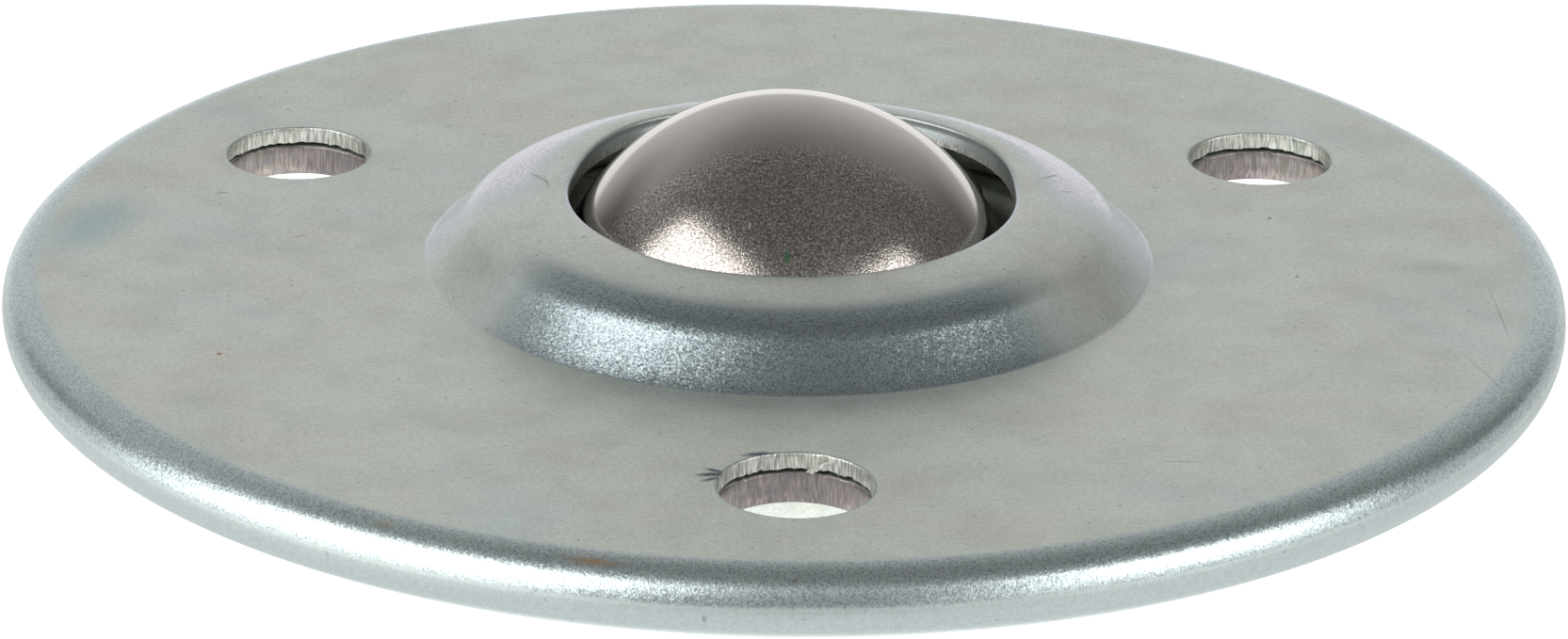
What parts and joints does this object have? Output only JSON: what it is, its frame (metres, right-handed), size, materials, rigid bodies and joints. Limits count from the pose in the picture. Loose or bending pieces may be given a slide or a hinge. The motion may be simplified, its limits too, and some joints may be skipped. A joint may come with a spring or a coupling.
{
  "type": "ball castor",
  "caption": "Flange-mounted ball castor: a steel ball under a domed, hemmed round cover with fixing holes, rolling on small balls in a pressed cup.",
  "frame": {"origin": "centre of the flange's flat top face, on the ball's axis", "axes": "+Z out through the load ball, along the fixing holes; -Y towards one of the three fixing holes"},
  "size_m": [0.072, 0.072, 0.0264],
  "materials": {
    "zinc_plated_sheet": "zinc-plated, satin",
    "pressed_plate_steel": "zinc-plated outside, sheared and dull at the holes",
    "load_ball_steel": "satin ground bearing steel",
    "support_ball_steel": "polished bearing steel"
  },
  "bodies": {
    "housing": {"cover": "zinc_plated_sheet", "cup_plate": "pressed_plate_steel"},
    "centre_support_ball": {"support_ball_centre": "support_ball_steel"},
    "load_ball": {"load_ball": "load_ball_steel"},
    "support_balls": {"support_ball_row_1_01": "support_ball_steel", "support_ball_row_1_02": "support_ball_steel", "support_ball_row_1_03": "support_ball_steel", "support_ball_row_1_04": "support_ball_steel", "support_ball_row_1_05": "support_ball_steel", "support_ball_row_1_06": "support_ball_steel", "support_ball_row_2_01": "support_ball_steel", "support_ball_row_2_02": "support_ball_steel", "support_ball_row_2_03": "support_ball_steel", "support_ball_row_2_04": "support_ball_steel", "support_ball_row_2_05": "support_ball_steel", "support_ball_row_2_06": "support_ball_steel", "support_ball_row_2_07": "support_ball_steel", "support_ball_row_2_08": "support_ball_steel", "support_ball_row_2_09": "support_ball_steel", "support_ball_row_2_10": "support_ball_steel", "support_ball_row_2_11": "support_ball_steel", "support_ball_row_2_12": "support_ball_steel", "support_ball_row_7_01": "support_ball_steel", "support_ball_row_7_02": "support_ball_steel", "support_ball_row_7_03": "support_ball_steel", "support_ball_row_7_04": "support_ball_steel", "support_ball_row_7_05": "support_ball_steel", "support_ball_row_7_06": "support_ball_steel", "support_ball_row_7_07": "support_ball_steel", "support_ball_row_7_08": "support_ball_steel", "support_ball_row_7_09": "support_ball_steel", "support_ball_row_7_10": "support_ball_steel", "support_ball_row_7_11": "support_ball_steel", "support_ball_row_7_12": "support_ball_steel", "support_ball_row_7_13": "support_ball_steel", "support_ball_row_7_14": "support_ball_steel", "support_ball_row_7_15": "support_ball_steel", "support_ball_row_7_16": "support_ball_steel", "support_ball_row_7_17": "support_ball_steel", "support_ball_row_7_18": "support_ball_steel", "support_ball_row_7_19": "support_ball_steel", "support_ball_row_7_20": "support_ball_steel", "support_ball_row_7_21": "support_ball_steel", "support_balls_row_3": "support_ball_steel", "support_balls_row_4": "support_ball_steel", "support_balls_row_5": "support_ball_steel", "support_balls_row_6": "support_ball_steel"}
  },
  "joints": [
    {"name": "ball_swivel", "type": "hinge", "parent": "housing", "child": "centre_support_ball", "pos_m": [0, 0, -0.0035], "axis": [0, 0, 1], "continuous": true},
    {"name": "ball_roll", "type": "hinge", "parent": "centre_support_ball", "child": "load_ball", "pos_m": [0, 0, -0.0035], "axis": [1, 0, 0], "continuous": true},
    {"name": "support_ball_orbit", "type": "hinge", "parent": "housing", "child": "support_balls", "pos_m": [0, 0, -0.0035], "axis": [0, 0, 1], "continuous": true}
  ],
  "couplings": [
    {"joint": "support_ball_orbit", "follows": "ball_swivel", "ratio": 0.4375}
  ]
}
